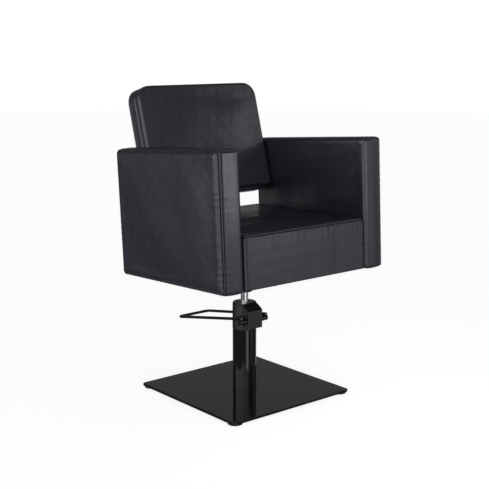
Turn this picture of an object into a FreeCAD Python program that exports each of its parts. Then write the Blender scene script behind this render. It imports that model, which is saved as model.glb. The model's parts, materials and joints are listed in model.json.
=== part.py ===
import FreeCAD, Part
import math
import os

# Styling chair: square base plate, hydraulic pump column, foot pedal and a box-armed seat.
# Units are millimetres. The origin is on the floor under the pump axis, +Z is up, the sitter
# faces -Y and +X is the sitter's left. Every function below makes one sub-part.

V = FreeCAD.Vector
X_AXIS = V(1, 0, 0)
Y_AXIS = V(0, 1, 0)
Z_AXIS = V(0, 0, 1)
SIDES = (-1, 1)

# Clearances
RUNNING_FIT = 0.05          # radial, between a shaft and the bore that guides it
BOLT_CLEARANCE = 0.2        # radial, around screws

# Base plate and feet
PLATE_SIDE = 470.0
PLATE_BOTTOM = 5.0
PLATE_TOP = 12.5
PLATE_CORNER_RADIUS = 10.0
PLATE_RIM_RADIUS = 1.2
FOOT_RADIUS = 22.0
FOOT_CENTRE = PLATE_SIDE / 2 - FOOT_RADIUS
FOOT_RECESS_RADIUS = 6.0
FOOT_RECESS_HEIGHT = 2.6
FOOT_SCREW_RADIUS = 2.5
BASE_BOLT_RADIUS = 4.0
BASE_BOLT_CIRCLE = 25.0
BASE_BOLT_TOP = 24.0
BASE_BOLT_HEAD_HEIGHT = 4.0

# Pump column and cylinder
COLUMN_RADIUS = 37.5
COLUMN_WALL = 2.5
COLUMN_TOP = 207.0
PUMP_FOOT_TOP = 28.0
BARREL_RADIUS = 25.0
BARREL_BORE = 20.0
BARREL_TOP = 212.0

# Pump head
HEAD_RADIUS = 38.0
HEAD_TOP = 291.0
HEAD_WALL = 2.6
COVER_TOP = 287.0
BLOCK_HALF_WIDTH = 28.4
BLOCK_FRONT = -54.0
BLOCK_BOTTOM = 214.6
CHAMFER_BACK = -24.0        # y where the sloping face leaves the top
CHAMFER_FOOT = 271.0        # z where the sloping face meets the front face
CAP_RADIUS = 37.0
CAP_BOSS_RADIUS = 29.5
CASTING_RADIUS = 34.5
CASTING_TOP = 283.0
CHEEK_INNER = 9.0
CHEEK_OUTER = 25.0
BUSH_RADIUS = 18.0
BUSH_BOTTOM = 214.0
BUSH_TOP = 278.0

# Piston, at the height the seat is stored
ROD_RADIUS = 12.0
ROD_TOP = 385.0
PISTON_BOTTOM = 60.0
PISTON_TOP = 90.0
ROD_BOTTOM = 72.0
SEAL_BOTTOM = 68.0
SEAL_TOP = 73.0
SEAL_INNER = 17.0

# Foot pedal and plunger
SHAFT_Y = -42.0
SHAFT_Z = 240.0
SHAFT_RADIUS = 5.0
SHAFT_HALF_LENGTH = 54.0
HUB_RADIUS = 9.5
HUB_INNER_END = 31.0
HUB_OUTER_END = 55.0
PEDAL_ROD_RADIUS = 4.75
PEDAL_SLOPE = 10.0          # degrees below level, towards the rear
PEDAL_OFFSET = 11.1         # rod centre line to shaft axis
PEDAL_LENGTH = 313.0        # along the rods, from beside the shaft to the end bar
PEDAL_HALF_AT_HUB = 50.0
PEDAL_HALF_AT_END = 61.0
PEDAL_BEND_RADIUS = 15.0
CRANK_RADIUS = 15.0         # shaft axis to the nose that pushes the plunger
CRANK_HUB_RADIUS = 7.5
CRANK_WEB_HALF_HEIGHT = 3.0
NOSE_RADIUS = 4.0
PLUNGER_GAP = 0.3
PLUNGER_RADIUS = 5.0
PLUNGER_HEAD_RADIUS = 6.8
PLUNGER_BOTTOM = 217.0
SLEEVE_BOTTOM = 213.0
SLEEVE_TOP = 222.0
SPRING_WIRE = 0.5            # wire radius
SPRING_RADIUS = 5.9

COVER_THICKNESS = 2.0       # upholstery cover over foam

# Seat and arms, measured square to a frame that leans back from its front lower edge
SEAT_TILT = 3.2
SEAT_FRONT_Y = -290.0
SEAT_FRONT_Z = 412.0
SEAT_WIDTH = 640.0
SEAT_DEPTH = 500.0
ARM_THICKNESS = 80.0
ARM_HEIGHT = 391.0
ARM_REAR_RISE = 6.0         # lower edge is higher at the rear
ARM_EDGE_RADIUS = 14.0
CORE_THICKNESS = 44.0
CORE_MARGIN = 35.0
CORE_RAIL = 58.0
CORE_CLOSING = 3.0
CUSHION_GAP = 3.5
CUSHION_FRONT = 160.0       # seat top above the lower edge, front
CUSHION_REAR = 168.0        # seat top above the lower edge, rear
CUSHION_DEPTH = 496.0
CUSHION_UNDERSIDE = 94.0
CUSHION_EDGE_RADIUS = 12.0
APRON_THICKNESS = 18.0
REAR_APRON_THICKNESS = 6.0
RAIL_THICKNESS = 18.0
RAIL_HALF_WIDTH = 232.0
RAIL_BOTTOM = 20.0
RAIL_TOP = 92.0
RAIL_FRONT = 20.0
RAIL_REAR = 488.0
REAR_RAIL_THICKNESS = 16.0
PANEL_BOTTOM = 8.0
DUST_COVER_THICKNESS = 1.0
WEBBING_WIDTH = 50.0
WEBBING_COUNT = 5
ARM_BOLT_HEIGHT = 38.0
ARM_BOLT_DEPTHS = (80.0, 250.0, 420.0)
PUMP_DEPTH = 290.0          # where the pump axis crosses the seat frame
MOUNT_HALF = 100.0
MOUNT_BOTTOM = 2.0
MOUNT_BOLT_SPACING = 80.0
HUB_BOTTOM = 325.0

# Backrest, measured square to a frame that leans back from its front lower edge
BACK_TILT = 15.8
BACK_FRONT_Y = 140.0
BACK_FRONT_Z = 635.0
BACK_HALF_WIDTH = 228.5
BACK_HEIGHT = 339.0
BACK_PAD_THICKNESS = 22.0
BACK_THICKNESS = 70.0
BACK_CORNER_RADIUS = 22.0
BACK_EDGE_RADIUS = 8.0
BOARD_FRONT = 44.0
BOARD_THICKNESS = 12.0
BOARD_HALF_WIDTH = 205.0
BOARD_BOTTOM = 14.0
BOARD_TOP = 325.0

# Steel straps from the seat frame to the backrest
STRAP_THICKNESS = 6.0
STRAP_WIDTH = 40.0
STRAP_X = 110.0
STRAP_DEPTH = 466.0         # front face of the lower leg, in the seat frame
STRAP_FOOT = 28.0
STRAP_HEAD = 118.0          # upper end, in the backrest frame
STRAP_BOLT_HEIGHTS = (42.0, 74.0)
BACK_SCREW_HEIGHTS = (62.0, 98.0)

SEAT_FRAME = FreeCAD.Placement(V(0, SEAT_FRONT_Y, SEAT_FRONT_Z), FreeCAD.Rotation(X_AXIS, -SEAT_TILT))
BACK_FRAME = FreeCAD.Placement(V(0, BACK_FRONT_Y, BACK_FRONT_Z), FreeCAD.Rotation(X_AXIS, -BACK_TILT))


# ---- helpers ----

def box(x0, x1, y0, y1, z0, z1):
    return Part.makeBox(x1 - x0, y1 - y0, z1 - z0, V(x0, y0, z0))


def disc(radius, z0, z1, x=0.0, y=0.0):
    return Part.makeCylinder(radius, z1 - z0, V(x, y, z0), Z_AXIS)


def ring(outer, inner, z0, z1, x=0.0, y=0.0):
    return disc(outer, z0, z1, x, y).cut(disc(inner, z0 - 1, z1 + 1, x, y))


def crosswise(radius, x0, x1, y, z):
    return Part.makeCylinder(radius, x1 - x0, V(x0, y, z), X_AXIS)


def lengthwise(radius, x, y0, y1, z):
    return Part.makeCylinder(radius, y1 - y0, V(x, y0, z), Y_AXIS)


def prism_x(outline, x0, x1):
    """Solid of a (y, z) outline that runs from x0 to x1."""
    points = [V(x0, y, z) for y, z in outline]
    face = Part.Face(Part.makePolygon(points + points[:1]))
    return face.extrude(V(x1 - x0, 0, 0))


def hexagon(across_flats, base, direction, length):
    """Hexagonal prism with its axis along +X, +Y or +Z."""
    corner = across_flats / math.sqrt(3)
    angles = [math.radians(60 * i) for i in range(6)]
    points = [V(corner * math.cos(a), corner * math.sin(a), 0) for a in angles]
    prism = Part.Face(Part.makePolygon(points + points[:1])).extrude(V(0, 0, length))
    prism.Placement = FreeCAD.Placement(base, FreeCAD.Rotation(Z_AXIS, direction))
    return prism


def edges_at(shape, direction):
    """Straight edges that run along a direction."""
    found = []
    for edge in shape.Edges:
        tangent = edge.tangentAt(edge.FirstParameter)
        if isinstance(edge.Curve, Part.Line) and abs(tangent.dot(direction)) > 0.999:
            found.append(edge)
    return found


def edges_in_plane(shape, z):
    return [e for e in shape.Edges if abs(e.BoundBox.ZMin - z) < 0.01 and abs(e.BoundBox.ZMax - z) < 0.01]


def placed(shape, frame):
    moved = shape.copy()
    moved.Placement = frame.multiply(moved.Placement)
    return moved


def on_seat(shape):
    return placed(shape, SEAT_FRAME)


def on_back(shape):
    return placed(shape, BACK_FRAME)


def seat_point(depth, height):
    """(y, z) of a point of the seat frame."""
    point = SEAT_FRAME.multVec(V(0, depth, height))
    return point.y, point.z


def back_point(depth, height):
    """(y, z) of a point of the backrest frame."""
    point = BACK_FRAME.multVec(V(0, depth, height))
    return point.y, point.z


def crossing(a0, a1, b0, b1):
    """Where the line through a0 and a1 meets the line through b0 and b1."""
    ay, az = a1[0] - a0[0], a1[1] - a0[1]
    by, bz = b1[0] - b0[0], b1[1] - b0[1]
    along = ((b0[0] - a0[0]) * bz - (b0[1] - a0[1]) * by) / (ay * bz - az * by)
    return a0[0] + ay * along, a0[1] + az * along


def rounded_path(points, radius):
    """Wire of straight runs joined by arcs of one radius."""
    edges = []
    start = points[0]
    for before, corner, after in zip(points, points[1:], points[2:]):
        towards = (before - corner).normalize()
        away = (after - corner).normalize()
        half_angle = math.acos(towards.dot(away)) / 2
        setback = radius / math.tan(half_angle)
        arc_start = corner + towards * setback
        arc_end = corner + away * setback
        inward = (towards + away).normalize()
        middle = corner + inward * (radius / math.sin(half_angle) - radius)
        edges.append(Part.LineSegment(start, arc_start).toShape())
        edges.append(Part.Arc(arc_start, middle, arc_end).toShape())
        start = arc_end
    edges.append(Part.LineSegment(start, points[-1]).toShape())
    return Part.Wire(edges)


# ---- base ----

def base_bolt_places():
    angles = [math.radians(45 + 90 * i) for i in range(4)]
    return [(BASE_BOLT_CIRCLE * math.cos(a), BASE_BOLT_CIRCLE * math.sin(a)) for a in angles]


def foot_places():
    return [(sx * FOOT_CENTRE, sy * FOOT_CENTRE) for sx in SIDES for sy in SIDES]


def countersunk(x, y, clearance):
    """Base bolt pointing up, its flat head level with the underside of the plate."""
    head = Part.makeCone(2 * BASE_BOLT_RADIUS + clearance, BASE_BOLT_RADIUS + clearance,
                         BASE_BOLT_HEAD_HEIGHT, V(x, y, PLATE_BOTTOM), Z_AXIS)
    shank = disc(BASE_BOLT_RADIUS + clearance, PLATE_BOTTOM, BASE_BOLT_TOP + clearance, x, y)
    return head.fuse(shank).removeSplitter()


def foot_screw(x, y, clearance):
    """Pan-head screw up through a foot into the plate."""
    head = disc(FOOT_RECESS_RADIUS - 1 + clearance, 1.2, FOOT_RECESS_HEIGHT + clearance, x, y)
    shank = disc(FOOT_SCREW_RADIUS + clearance, 1.2, PLATE_TOP - 2 + clearance, x, y)
    return head.fuse(shank).removeSplitter()


def base_plate():
    half = PLATE_SIDE / 2
    plate = box(-half, half, -half, half, PLATE_BOTTOM, PLATE_TOP)
    plate = plate.makeFillet(PLATE_CORNER_RADIUS, edges_at(plate, Z_AXIS))
    plate = plate.makeFillet(PLATE_RIM_RADIUS, edges_in_plane(plate, PLATE_TOP))
    for x, y in base_bolt_places():
        plate = plate.cut(countersunk(x, y, BOLT_CLEARANCE))
    for x, y in foot_places():
        plate = plate.cut(foot_screw(x, y, BOLT_CLEARANCE))
    return plate


def corner_feet():
    feet = []
    for x, y in foot_places():
        foot = disc(FOOT_RADIUS, 0, PLATE_BOTTOM, x, y)
        foot = foot.makeFillet(1.0, edges_in_plane(foot, 0))
        foot = foot.cut(disc(FOOT_RECESS_RADIUS, -1, FOOT_RECESS_HEIGHT, x, y))
        foot = foot.cut(disc(FOOT_SCREW_RADIUS + BOLT_CLEARANCE, 0, PLATE_TOP, x, y))
        feet.append(foot)
    return Part.makeCompound(feet)


def foot_screws():
    return Part.makeCompound([foot_screw(x, y, 0) for x, y in foot_places()])


def base_bolts():
    return Part.makeCompound([countersunk(x, y, 0) for x, y in base_bolt_places()])


def pump_foot():
    foot = disc(COLUMN_RADIUS - COLUMN_WALL - 0.4, PLATE_TOP, PUMP_FOOT_TOP)
    for x, y in base_bolt_places():
        foot = foot.cut(countersunk(x, y, BOLT_CLEARANCE))
    return foot


def column_tube():
    return ring(COLUMN_RADIUS, COLUMN_RADIUS - COLUMN_WALL, PLATE_TOP, COLUMN_TOP)


def cylinder_barrel():
    return ring(BARREL_RADIUS, BARREL_BORE, PUMP_FOOT_TOP, BARREL_TOP)


# ---- pump head ----

def chamfer_wedge(drop):
    """Everything above the sloping front face, lowered by drop."""
    slope = (HEAD_TOP - 1 - CHAMFER_FOOT) / (CHAMFER_BACK - BLOCK_FRONT)
    front = BLOCK_FRONT - 10
    top = HEAD_TOP - 1 - drop
    foot = top - slope * (CHAMFER_BACK - front)
    outline = [(CHAMFER_BACK, top), (CHAMFER_BACK, HEAD_TOP + 10), (front, HEAD_TOP + 10), (front, foot)]
    return prism_x(outline, -HEAD_RADIUS - 5, HEAD_RADIUS + 5)


def plunger_y():
    return SHAFT_Y + CRANK_RADIUS


def crank_chamber():
    return box(-CHEEK_INNER, CHEEK_INNER, BLOCK_FRONT, -18, SLEEVE_TOP + 2, CASTING_TOP - 20)


def pump_casting():
    body = disc(CASTING_RADIUS, COLUMN_TOP, CASTING_TOP)
    spigot = disc(COLUMN_RADIUS - COLUMN_WALL - 0.4, COLUMN_TOP - 12, COLUMN_TOP)
    lug = box(-CHEEK_OUTER, CHEEK_OUTER, BLOCK_FRONT + HEAD_WALL + 1, 0, 217, 260)
    casting = body.fuse([spigot, lug])
    casting = casting.cut(chamfer_wedge(HEAD_WALL + 2))
    casting = casting.cut(disc(BARREL_RADIUS + RUNNING_FIT, 0, BARREL_TOP))
    casting = casting.cut(disc(BUSH_RADIUS + RUNNING_FIT, 0, HEAD_TOP))
    casting = casting.cut(crank_chamber())
    casting = casting.cut(disc(8 + RUNNING_FIT, 205, SLEEVE_TOP + 3, 0, plunger_y()))
    casting = casting.cut(crosswise(SHAFT_RADIUS + RUNNING_FIT, -40, 40, SHAFT_Y, SHAFT_Z))
    return casting.removeSplitter()


def guide_bush():
    return ring(BUSH_RADIUS, ROD_RADIUS + RUNNING_FIT, BUSH_BOTTOM, BUSH_TOP)


def rod_seal():
    return ring(BUSH_RADIUS, ROD_RADIUS + RUNNING_FIT, BUSH_TOP, CASTING_TOP)


def head_cover():
    inner_radius = CASTING_RADIUS + 0.7
    shell = disc(HEAD_RADIUS, COLUMN_TOP, COVER_TOP)
    block = box(-BLOCK_HALF_WIDTH, BLOCK_HALF_WIDTH, BLOCK_FRONT, 0, BLOCK_BOTTOM, COVER_TOP)
    block = block.makeFillet(2.0, edges_at(block, Z_AXIS))
    shell = shell.fuse(block).cut(chamfer_wedge(0)).removeSplitter()
    inner_half = BLOCK_HALF_WIDTH - HEAD_WALL
    hollow = disc(inner_radius, COLUMN_TOP - 10, COVER_TOP - 3)
    hollow = hollow.fuse(box(-inner_half, inner_half, BLOCK_FRONT + HEAD_WALL, 0, COLUMN_TOP - 10, COVER_TOP - 3))
    hollow = hollow.cut(chamfer_wedge(HEAD_WALL))
    shell = shell.cut(hollow)
    shell = shell.cut(disc(CAP_BOSS_RADIUS + 0.3, COVER_TOP - 10, HEAD_TOP))
    shell = shell.cut(crosswise(SHAFT_RADIUS + 1.5, -40, 40, SHAFT_Y, SHAFT_Z))
    for side in SIDES:
        x0, x1 = sorted((side * (BLOCK_HALF_WIDTH - 5), side * (BLOCK_HALF_WIDTH + 5)))
        slot = box(x0, x1, SHAFT_Y - 5, SHAFT_Y + 17, SHAFT_Z + 3, SHAFT_Z + 9)
        shell = shell.cut(slot)
        shell = shell.cut(crosswise(2.6, x0, x1, SHAFT_Y + 6.5, BLOCK_BOTTOM + 8.5))
    return shell.removeSplitter()


def head_cap():
    rim = disc(CAP_RADIUS, COVER_TOP + 0.8, HEAD_TOP)
    rim = rim.makeFillet(1.2, edges_in_plane(rim, HEAD_TOP))
    boss = disc(CAP_BOSS_RADIUS, CASTING_TOP + 0.2, COVER_TOP + 0.8)
    cap = rim.fuse(boss).cut(chamfer_wedge(0))
    cap = cap.cut(disc(ROD_RADIUS + 0.6, 200, 300))
    for x, y in cap_screw_places():
        cap = cap.cut(disc(2.0 + BOLT_CLEARANCE, 200, 300, x, y))
    return cap.removeSplitter()


def cap_screw_places():
    return [(side * 21.0, 12.0) for side in SIDES]


def cap_screws():
    screws = []
    for x, y in cap_screw_places():
        head = disc(4.0, HEAD_TOP, HEAD_TOP + 2.4, x, y)
        head = head.cut(hexagon(3.0, V(x, y, HEAD_TOP + 1), Z_AXIS, 5))
        shank = disc(2.0, CASTING_TOP, HEAD_TOP, x, y)
        screws.append(head.fuse(shank))
    return Part.makeCompound(screws)


def plunger_sleeve():
    y = plunger_y()
    return ring(8.0, PLUNGER_RADIUS + RUNNING_FIT, SLEEVE_BOTTOM, SLEEVE_TOP, 0, y)


# ---- lift ----

def piston_head():
    head = disc(BARREL_BORE - RUNNING_FIT, PISTON_BOTTOM, PISTON_TOP)
    groove = ring(BARREL_BORE + 1, SEAL_INNER, SEAL_BOTTOM, SEAL_TOP)
    socket = disc(ROD_RADIUS + RUNNING_FIT, ROD_BOTTOM - RUNNING_FIT, PISTON_TOP + 1)
    return head.cut(groove).cut(socket)


def piston_seal():
    return ring(BARREL_BORE - RUNNING_FIT, SEAL_INNER, SEAL_BOTTOM, SEAL_TOP)


# ---- pedal ----

def pedal_shaft():
    shaft = crosswise(SHAFT_RADIUS, -SHAFT_HALF_LENGTH, SHAFT_HALF_LENGTH, SHAFT_Y, SHAFT_Z)
    for side in SIDES:
        start = V(side * SHAFT_HALF_LENGTH, SHAFT_Y, SHAFT_Z)
        shaft = shaft.cut(hexagon(5.0, start, V(-side, 0, 0), 4))
    return shaft


def pump_crank():
    hub = crosswise(CRANK_HUB_RADIUS, -7, 7, SHAFT_Y, SHAFT_Z)
    web = box(-5, 5, SHAFT_Y, plunger_y(), SHAFT_Z - CRANK_WEB_HALF_HEIGHT, SHAFT_Z + CRANK_WEB_HALF_HEIGHT)
    nose = crosswise(NOSE_RADIUS, -5, 5, plunger_y(), SHAFT_Z)
    crank = hub.fuse([web, nose])
    return crank.cut(crosswise(SHAFT_RADIUS, -10, 10, SHAFT_Y, SHAFT_Z)).removeSplitter()


def pedal_loop():
    """Bent rod, drawn level with its ends beside the shaft, then sloped down to the rear."""
    points = [V(-PEDAL_HALF_AT_HUB, -6, 0), V(-PEDAL_HALF_AT_END, PEDAL_LENGTH, 0),
              V(PEDAL_HALF_AT_END, PEDAL_LENGTH, 0), V(PEDAL_HALF_AT_HUB, -6, 0)]
    path = rounded_path(points, PEDAL_BEND_RADIUS)
    start = (points[1] - points[0]).normalize()
    section = Part.Wire(Part.makeCircle(PEDAL_ROD_RADIUS, points[0], start))
    loop = path.makePipeShell([section], True, True)
    loop.translate(V(0, 0, PEDAL_OFFSET))
    slope = FreeCAD.Placement(V(0, SHAFT_Y, SHAFT_Z), FreeCAD.Rotation(X_AXIS, -PEDAL_SLOPE))
    return placed(loop, slope)


def pedal_hub(side):
    x0, x1 = sorted((side * HUB_INNER_END, side * HUB_OUTER_END))
    hub = crosswise(HUB_RADIUS, x0, x1, SHAFT_Y, SHAFT_Z)
    hub = hub.makeChamfer(1.0, [e for e in hub.Edges if isinstance(e.Curve, Part.Circle)])
    hub = hub.cut(crosswise(SHAFT_RADIUS, -70, 70, SHAFT_Y, SHAFT_Z))
    hub = hub.cut(grub_screw(side, BOLT_CLEARANCE))
    return hub.cut(pedal_loop())


def grub_screw(side, clearance):
    return disc(3.0 + clearance, SHAFT_Z - HUB_RADIUS - clearance, SHAFT_Z - SHAFT_RADIUS, side * 40, SHAFT_Y)


def pedal_grub_screws():
    screws = []
    for side in SIDES:
        screw = grub_screw(side, 0).cut(crosswise(SHAFT_RADIUS, -70, 70, SHAFT_Y, SHAFT_Z))
        socket = hexagon(3.0, V(side * 40, SHAFT_Y, SHAFT_Z - HUB_RADIUS - 1), Z_AXIS, 3.5)
        screws.append(screw.cut(socket))
    return Part.makeCompound(screws)


def pump_plunger():
    y = plunger_y()
    top = SHAFT_Z - NOSE_RADIUS - PLUNGER_GAP
    stem = disc(PLUNGER_RADIUS, PLUNGER_BOTTOM, top, 0, y)
    head = disc(PLUNGER_HEAD_RADIUS, top - 2, top, 0, y)
    return stem.fuse(head).removeSplitter()


def plunger_spring():
    """Coil between the sleeve and the plunger's head."""
    top = SHAFT_Z - NOSE_RADIUS - PLUNGER_GAP - 2
    height = top - SLEEVE_TOP - 2 * SPRING_WIRE - 0.2
    helix = Part.makeHelix(height / 3, height, SPRING_RADIUS)
    section = Part.Wire(Part.makeCircle(SPRING_WIRE, V(SPRING_RADIUS, 0, 0), Y_AXIS))
    coil = Part.Wire(helix).makePipeShell([section], True, True)
    coil.translate(V(0, plunger_y(), SLEEVE_TOP + SPRING_WIRE + 0.1))
    return coil


# ---- seat support ----

def piston_rod():
    rod = disc(ROD_RADIUS, ROD_BOTTOM, ROD_TOP)
    return rod.makeChamfer(1.5, edges_in_plane(rod, ROD_TOP))


def mount_hub():
    """Tapered boss under the mounting plate, cut to the plate's slope."""
    outline = [V(0, 0, HUB_BOTTOM), V(23, 0, HUB_BOTTOM), V(25, 0, HUB_BOTTOM + 2), V(28, 0, 362),
               V(48, 0, 388), V(48, 0, 420), V(0, 0, 420)]
    hub = Part.Face(Part.makePolygon(outline + outline[:1])).revolve(V(0, 0, 0), Z_AXIS, 360)
    above = on_seat(box(-200, 200, 0, SEAT_DEPTH, MOUNT_BOTTOM, 100))
    return hub.cut(above).cut(disc(ROD_RADIUS + 0.02, 0, ROD_TOP + 0.5))


def mount_bolt_places():
    return [(sx * MOUNT_BOLT_SPACING, PUMP_DEPTH + sy * MOUNT_BOLT_SPACING) for sx in SIDES for sy in SIDES]


def mount_plate():
    plate = box(-MOUNT_HALF, MOUNT_HALF, PUMP_DEPTH - MOUNT_HALF, PUMP_DEPTH + MOUNT_HALF, MOUNT_BOTTOM, PANEL_BOTTOM)
    plate = plate.makeFillet(12, edges_at(plate, Z_AXIS))
    for x, depth in mount_bolt_places():
        plate = plate.cut(disc(4 + BOLT_CLEARANCE, 0, 20, x, depth))
    return on_seat(plate)


def mount_bolts():
    bolts = []
    for x, depth in mount_bolt_places():
        head = hexagon(13, V(x, depth, MOUNT_BOTTOM - 5.5), Z_AXIS, 5.5)
        bolts.append(head.fuse(disc(4, MOUNT_BOTTOM, 27, x, depth)))
    return on_seat(Part.makeCompound(bolts))


def mount_nuts():
    nuts = []
    for x, depth in mount_bolt_places():
        nut = hexagon(13, V(x, depth, RAIL_BOTTOM), Z_AXIS, 6.5)
        nuts.append(nut.cut(disc(4 + RUNNING_FIT, 0, 40, x, depth)))
    return on_seat(Part.makeCompound(nuts))


# ---- seat ----

def arm_bolt(side, depth, clearance):
    """Bolt from inside the seat frame into the arm's core."""
    inner = RAIL_HALF_WIDTH - RAIL_THICKNESS
    x0, x1 = sorted((side * inner, side * (inner + 70 + clearance)))
    return crosswise(4 + clearance, x0, x1, depth, ARM_BOLT_HEIGHT)


def arm_bolts():
    bolts = []
    for side in SIDES:
        inner = RAIL_HALF_WIDTH - RAIL_THICKNESS
        for depth in ARM_BOLT_DEPTHS:
            head = hexagon(13, V(side * inner, depth, ARM_BOLT_HEIGHT), V(-side, 0, 0), 5.5)
            bolts.append(head.fuse(arm_bolt(side, depth, 0)))
    return on_seat(Part.makeCompound(bolts))


def cut_arm_bolts(shape, side, clearance):
    for depth in ARM_BOLT_DEPTHS:
        shape = shape.cut(arm_bolt(side, depth, clearance))
    return shape


def seat_panel():
    panel = box(-RAIL_HALF_WIDTH, RAIL_HALF_WIDTH, RAIL_FRONT, RAIL_REAR, PANEL_BOTTOM, RAIL_BOTTOM)
    for x, depth in mount_bolt_places():
        panel = panel.cut(disc(4 + BOLT_CLEARANCE, 0, 40, x, depth))
    return on_seat(panel)


def seat_rails():
    """Four timber rails that meet face to face."""
    inner = RAIL_HALF_WIDTH - RAIL_THICKNESS
    front_end = RAIL_FRONT + RAIL_THICKNESS
    rear_end = RAIL_REAR - REAR_RAIL_THICKNESS
    rails = [box(-inner, inner, RAIL_FRONT, front_end, RAIL_BOTTOM, RAIL_TOP)]
    rear = box(-inner, inner, rear_end, RAIL_REAR, RAIL_BOTTOM, RAIL_TOP)
    for x in (-STRAP_X, STRAP_X):
        for height in STRAP_BOLT_HEIGHTS:
            rear = rear.cut(lengthwise(4 + BOLT_CLEARANCE, x, rear_end - 5, RAIL_REAR, height))
    rails.append(rear)
    for side in SIDES:
        x0, x1 = sorted((side * inner, side * RAIL_HALF_WIDTH))
        rails.append(cut_arm_bolts(box(x0, x1, RAIL_FRONT, RAIL_REAR, RAIL_BOTTOM, RAIL_TOP), side, BOLT_CLEARANCE))
    return on_seat(Part.makeCompound(rails))


def seat_webbing():
    straps = []
    pitch = (STRAP_DEPTH - RAIL_FRONT) / WEBBING_COUNT
    for i in range(WEBBING_COUNT):
        middle = RAIL_FRONT + pitch * (i + 0.5)
        straps.append(box(-RAIL_HALF_WIDTH + 4, RAIL_HALF_WIDTH - 4, middle - WEBBING_WIDTH / 2,
                          middle + WEBBING_WIDTH / 2, RAIL_TOP, CUSHION_UNDERSIDE))
    return on_seat(Part.makeCompound(straps))


def seat_block(inset):
    """Cushion with its front and rear aprons, its outer faces moved in by inset."""
    half = SEAT_WIDTH / 2 - ARM_THICKNESS - CUSHION_GAP - inset
    rear = CUSHION_DEPTH - inset
    rear_drop = CUSHION_DEPTH - REAR_APRON_THICKNESS
    outline = [(inset, 1), (APRON_THICKNESS, 1), (APRON_THICKNESS, CUSHION_UNDERSIDE), (rear_drop, CUSHION_UNDERSIDE),
               (rear_drop, 6), (rear, 6), (rear, CUSHION_REAR - inset), (inset, CUSHION_FRONT - inset)]
    block = prism_x(outline, -half, half)
    top_front = [e for e in edges_at(block, X_AXIS) if e.BoundBox.YMax < 5 and e.BoundBox.ZMin > 100]
    return block.makeFillet(CUSHION_EDGE_RADIUS - inset, top_front)


def cut_strap_slots(cushion):
    for x in (-STRAP_X, STRAP_X):
        slot = box(x - STRAP_WIDTH / 2 - 2, x + STRAP_WIDTH / 2 + 2, STRAP_DEPTH - 1.5,
                   STRAP_DEPTH + STRAP_THICKNESS + 1.5, CUSHION_UNDERSIDE - 20, CUSHION_REAR + 20)
        cushion = cushion.cut(slot)
    return cushion


def seat_cover():
    return on_seat(cut_strap_slots(seat_block(0).cut(seat_block(COVER_THICKNESS))))


def seat_foam():
    return on_seat(cut_strap_slots(seat_block(COVER_THICKNESS)))


def dust_cover():
    low = PANEL_BOTTOM - DUST_COVER_THICKNESS
    cover = box(-RAIL_HALF_WIDTH + 4, RAIL_HALF_WIDTH - 4, RAIL_FRONT + 4, RAIL_REAR - 4, low, PANEL_BOTTOM)
    window = MOUNT_HALF + 5
    return on_seat(cover.cut(box(-window, window, PUMP_DEPTH - window, PUMP_DEPTH + window, 0, 20)))


# ---- arms ----

def arm_span(side, inset):
    middle = SEAT_WIDTH / 2 - ARM_THICKNESS / 2
    half = ARM_THICKNESS / 2 - inset
    return sorted((side * (middle - half), side * (middle + half)))


def arm_core(side):
    """Timber ring frame of four rails inside the arm."""
    x0, x1 = arm_span(side, (ARM_THICKNESS - CORE_THICKNESS) / 2)
    front, rear = CORE_MARGIN, SEAT_DEPTH - CORE_MARGIN
    low, high = ARM_REAR_RISE + CORE_CLOSING, ARM_HEIGHT - CORE_MARGIN
    core = box(x0, x1, front, rear, low, high)
    core = core.cut(box(x0 - 1, x1 + 1, front + CORE_RAIL, rear - CORE_RAIL, low + CORE_RAIL, high - CORE_RAIL))
    return on_seat(cut_arm_bolts(core, side, BOLT_CLEARANCE))


def arm_slab(side, inset):
    """The whole padded arm, its faces moved in by inset."""
    x0, x1 = arm_span(side, inset)
    rear = SEAT_DEPTH - inset
    top = ARM_HEIGHT - inset
    slab = prism_x([(inset, inset), (rear, ARM_REAR_RISE + inset), (rear, top), (inset, top)], x0, x1)
    return slab.makeFillet(ARM_EDGE_RADIUS - inset, slab.Edges)


def cut_arm_pocket(slab, side):
    """Room for the core, open below, and for the bolts that reach it."""
    x0, x1 = arm_span(side, (ARM_THICKNESS - CORE_THICKNESS) / 2)
    slab = slab.cut(box(x0, x1, CORE_MARGIN, SEAT_DEPTH - CORE_MARGIN, -10, ARM_HEIGHT - CORE_MARGIN))
    return on_seat(cut_arm_bolts(slab, side, BOLT_CLEARANCE))


def arm_cover(side):
    return cut_arm_pocket(arm_slab(side, 0).cut(arm_slab(side, COVER_THICKNESS)), side)


def arm_foam(side):
    return cut_arm_pocket(arm_slab(side, COVER_THICKNESS), side)


def arm_closing(side):
    """Thin board that closes the arm from below."""
    x0, x1 = arm_span(side, (ARM_THICKNESS - CORE_THICKNESS) / 2)
    top = ARM_REAR_RISE + CORE_CLOSING
    return on_seat(box(x0, x1, CORE_MARGIN, SEAT_DEPTH - CORE_MARGIN, top - CORE_CLOSING, top))


# ---- backrest ----

def back_slab(depth0, depth1, inset):
    half = BACK_HALF_WIDTH - inset
    slab = box(-half, half, depth0, depth1, inset, BACK_HEIGHT - inset)
    return slab.makeFillet(BACK_CORNER_RADIUS - inset, edges_at(slab, Y_AXIS))


def back_pad(inset):
    """Front pad, its front and sides moved in by inset."""
    pad = back_slab(inset, BACK_PAD_THICKNESS, inset)
    front = [e for e in pad.Edges if e.BoundBox.YMax < inset + 0.01]
    return pad.makeFillet(BACK_EDGE_RADIUS - inset, front)


def back_pad_cover():
    return on_back(back_pad(0).cut(back_pad(COVER_THICKNESS)))


def back_pad_foam():
    return on_back(back_pad(COVER_THICKNESS))


def strap_slot(x):
    half = STRAP_WIDTH / 2 + 2
    return box(x - half, x + half, BOARD_FRONT + BOARD_THICKNESS - 1, 66, -10, STRAP_HEAD + 3)


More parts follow.
